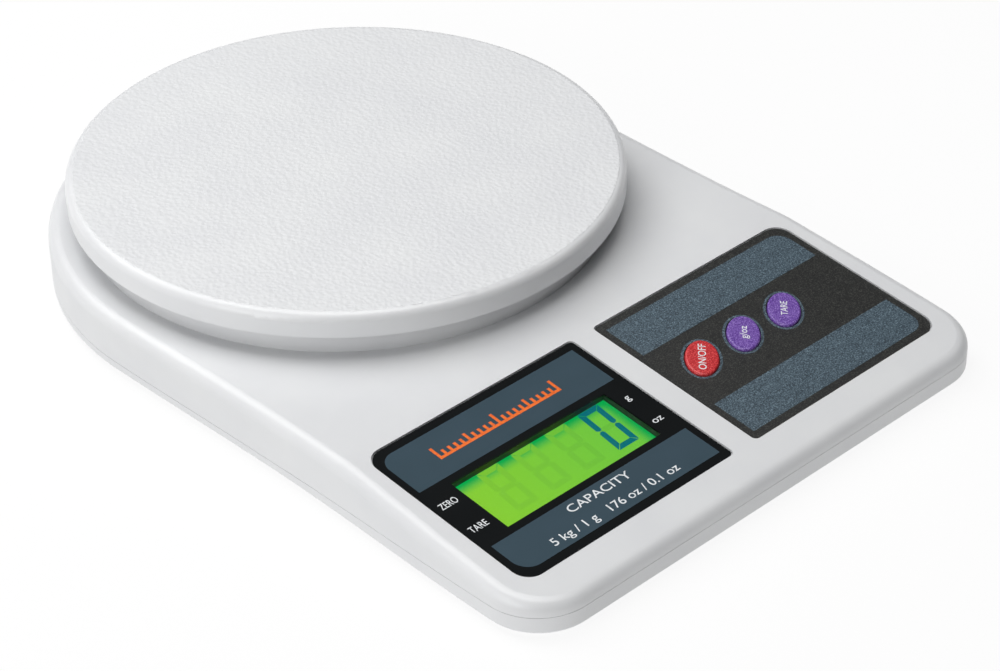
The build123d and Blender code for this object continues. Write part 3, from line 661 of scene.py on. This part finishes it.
# the last colour is the painted glint of the film's grain
slate_grain = grained_printed_film("grained_slate_film", "22303a", "3c4d59", "6f8490")
white_ink = screen_ink("white_screen_ink", "d6dadd", "eceff1")
orange_ink = screen_ink("orange_screen_ink", "e65f12", "f7741f")

for name, band in display_bands.items():
    print_outlines(name, [rounded_panel(*band)], display_face, slate_gloss)
for name, band in keypad_bands.items():
    print_outlines(name, [rounded_panel(*band)], keypad_face, slate_grain)


def key_middle(key):
    """Centre of a key cap in the shared frame."""
    low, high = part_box(key + "_button")
    return (low + high) / 2


def print_key_ring(key):
    """Prints the oval ring round a key's opening."""
    centre = keypad_face.inverted() @ key_middle(key)
    lines = []
    for width in (key_ring_width, ring_sink):
        half_long, half_short = (size / 2 + key_gap + width for size in key_size)
        outline = oval(half_long, half_short, key_turn)
        lines.append([(x + centre.x, y + centre.y) for x, y in outline])
    form = bmesh.new()
    raise_ring(form, *lines, -ink_sink, ink_height)
    mesh = bpy.data.meshes.new(key + "_key_ring")
    form.to_mesh(mesh)
    form.free()
    finish_piece(key + "_key_ring", mesh, keypad_face, slate_grain)


for key in ("power", "unit", "tare"):
    print_key_ring(key)


def tick_outlines():
    """Graduated rule: a base line with short, middle and long ticks."""
    line_top = tick_line_y + tick_line_width
    corners = (tick_line_corner,) * 4
    outlines = [rounded_panel(tick_left, tick_right, tick_line_y, line_top, corners)]
    step = (tick_right - tick_left - tick_width) / (tick_count - 1)
    for i in range(tick_count):
        height = tick_heights[0 if i % 10 == 0 else 5 if i % 5 == 0 else 1]
        left = tick_left + i * step
        top = tick_line_y + height
        outlines.append(rounded_panel(left, left + tick_width, line_top, top, (0,) * 4))
    return outlines


band_face = display_face @ Matrix.Translation((0, 0, ink_height))
print_outlines("orange_graduation", tick_outlines(), band_face, orange_ink)

# words on the display: words, middle, length, capital height
display_words = {
    "word_zero": ("ZERO", (4.8, -25.3), 5.6, 2.2),
    "word_tare": ("TARE", (4.8, -36.0), 5.6, 2.2),
    "word_gram": ("g", (67.4, -25.2), 1.5, 2.2),
    "word_ounce": ("oz", (67.4, -36.0), 3.4, 2.2),
}
for name, (words, middle, length, height) in display_words.items():
    print_words(name, words, middle, length, height, display_face, white_ink)
# words on the slate band, in the same order
band_words = {
    "word_capacity": ("CAPACITY", (36.2, -46.0), 21.4, 2.6),
    "word_limits": ("5 kg / 1 g   176 oz / 0.1 oz", (36.2, -51.9), 44.0, 2.6),
}
for name, (words, middle, length, height) in band_words.items():
    print_words(name, words, middle, length, height, band_face, white_ink)

# words on the keys: words, length, capital height
key_words = {"power": ("ON/OFF", 10.4, 2.1), "unit": ("g/oz", 5.3, 2.0), "tare": ("TARE", 6.0, 1.9)}
for key, (words, length, height) in key_words.items():
    node = key + "_button"
    centre = key_middle(key)
    crown = face_frame(node, centre.x, centre.dot(uphill))
    name = key + "_key_word"
    print_words(name, words, (0, 0), length, height, crown, white_ink, key_turn, node)


# ---------------------------------------------------------------- display digits
def digit_segments(names):
    """Outlines of the named segments of one slanted digit, its front left corner
    at the origin."""
    w, h, s, g = digit_width, digit_height, digit_stroke, digit_gap
    half = h / 2
    high, low = half + g, half - g
    tip, cheek = s / 3, s * 0.8
    shapes = {
        "a": [(g, h), (s, h - s), (w - s, h - s), (w - g, h)],
        "d": [(g, 0), (w - g, 0), (w - s, s), (s, s)],
        "f": [(0, h - g), (0, high + tip), (tip, high), (cheek, high), (s, high + tip),
              (s, h - s - g)],
        "e": [(0, g), (s, s + g), (s, low - tip), (cheek, low), (tip, low), (0, low - tip)],
        "g": [(s * 0.7, half), (s, half - s / 2), (w - s, half - s / 2), (w - s * 0.7, half),
              (w - s, half + s / 2), (s, half + s / 2)],
    }
    for right_side, left_side in (("b", "f"), ("c", "e")):
        shapes[right_side] = [(w - x, y) for x, y in shapes[left_side]]
    return [[(x + y * digit_slant, y) for x, y in shapes[name]] for name in names]


def facing_up(outline):
    """The outline, turned to run counter-clockwise."""
    twice_area = sum(a[0] * b[1] - b[0] * a[1] for a, b in zip(outline, outline[1:] + outline[:1]))
    return outline if twice_area > 0 else outline[::-1]


label_corner = display_face @ Vector((0, 0, 0))
glass_face = face_frame("lcd_glass", label_corner.dot(across), label_corner.dot(uphill))


def digit_outlines(names, place_from_right):
    """The named segments of the digit at a place, counted from the right."""
    left = digit_right - digit_width - place_from_right * digit_pitch
    outlines = digit_segments(names)
    return [facing_up([(x + left, y + digit_front) for x, y in outline]) for outline in outlines]


driven = switched_crystal("driven_crystal", "04707a", "04707a")
resting = switched_crystal("resting_crystal", "85cc35", "69c33e")
print_outlines("display_digit", digit_outlines("abcdef", 0), glass_face, driven)
resting_outlines = digit_outlines("g", 0)
for digit_place in range(1, resting_digits + 1):
    resting_outlines += digit_outlines("abcdefg", digit_place)
print_outlines("resting_segments", resting_outlines, glass_face, resting)


# ------------------------------------------------------------------------ studio
def softbox(name, azimuth, elevation, distance, size, power):
    """Square soft white light, aimed at the scale's middle; degrees, metres, watts."""
    data = bpy.data.lights.new(name, "AREA")
    data.shape = "SQUARE"
    data.size = size
    data.energy = power
    lamp = bpy.data.objects.new(name, data)
    towards = direction(azimuth, elevation)
    lamp.location = middle_of_scale + towards * distance
    lamp.rotation_euler = towards.to_track_quat("Z", "Y").to_euler()
    bpy.context.scene.collection.objects.link(lamp)


def direction(azimuth, elevation):
    """Unit vector towards a place round the scale; 0 is in front, 90 is to the right."""
    a, e = radians(azimuth), radians(elevation)
    return Vector((sin(a) * cos(e), -cos(a) * cos(e), sin(e)))


middle_of_scale = (cad_box[0] + cad_box[1]) / 2

softbox("back_softbox", -170, 52, 1.2, 0.8, 7.2)
softbox("side_softbox", -78, 22, 1.2, 0.7, 5.6)
softbox("top_softbox", 0, 89.9, 1.3, 0.9, 9.9)

world = bpy.data.worlds.new("studio")
world.use_nodes = True
sky = world.node_tree.nodes["Background"].inputs
sky["Color"].default_value = colour("f4f6f8")
sky["Strength"].default_value = 0.02
bpy.context.scene.world = world

floor_reach = 2.5
floor_mesh = bpy.data.meshes.new("studio_floor")
corner_signs = ((-1, -1), (1, -1), (1, 1), (-1, 1))
corners = [(x * floor_reach, y * floor_reach, 0) for x, y in corner_signs]
floor_mesh.from_pydata(corners, [], [(0, 1, 2, 3)])
floor = bpy.data.objects.new("studio_floor", floor_mesh)
floor_finish, _, _ = start(
    "lit_white_paper",
    Base_Color=colour("666666"),
    Roughness=0.9,
    Specular_IOR_Level=0.0,
    Emission_Color=colour("ffffff"),
    Emission_Strength=0.86,
)
floor_mesh.materials.append(floor_finish)
bpy.context.scene.collection.objects.link(floor)

# ------------------------------------------------------------------------ camera
view_azimuth, view_elevation, view_roll = -43.54, 34.50, -0.76
view_distance = 0.7758
view_lens = 106.56
deck_top = 0.0175
view_aim = Vector((-0.0158, -0.0387, deck_top))

back = direction(view_azimuth, view_elevation)
right = Vector((cos(radians(view_azimuth)), sin(radians(view_azimuth)), 0))
up = back.cross(right)
camera = bpy.data.objects.new("camera", bpy.data.cameras.new("camera"))
camera.data.lens = view_lens
upright = Matrix((right, up, back)).transposed().to_4x4()
turned = upright @ Matrix.Rotation(radians(view_roll), 4, "Z")
camera.matrix_world = Matrix.Translation(view_aim + back * view_distance) @ turned
bpy.context.scene.collection.objects.link(camera)
bpy.context.scene.camera = camera
bpy.context.scene.view_settings.view_transform = "Standard"
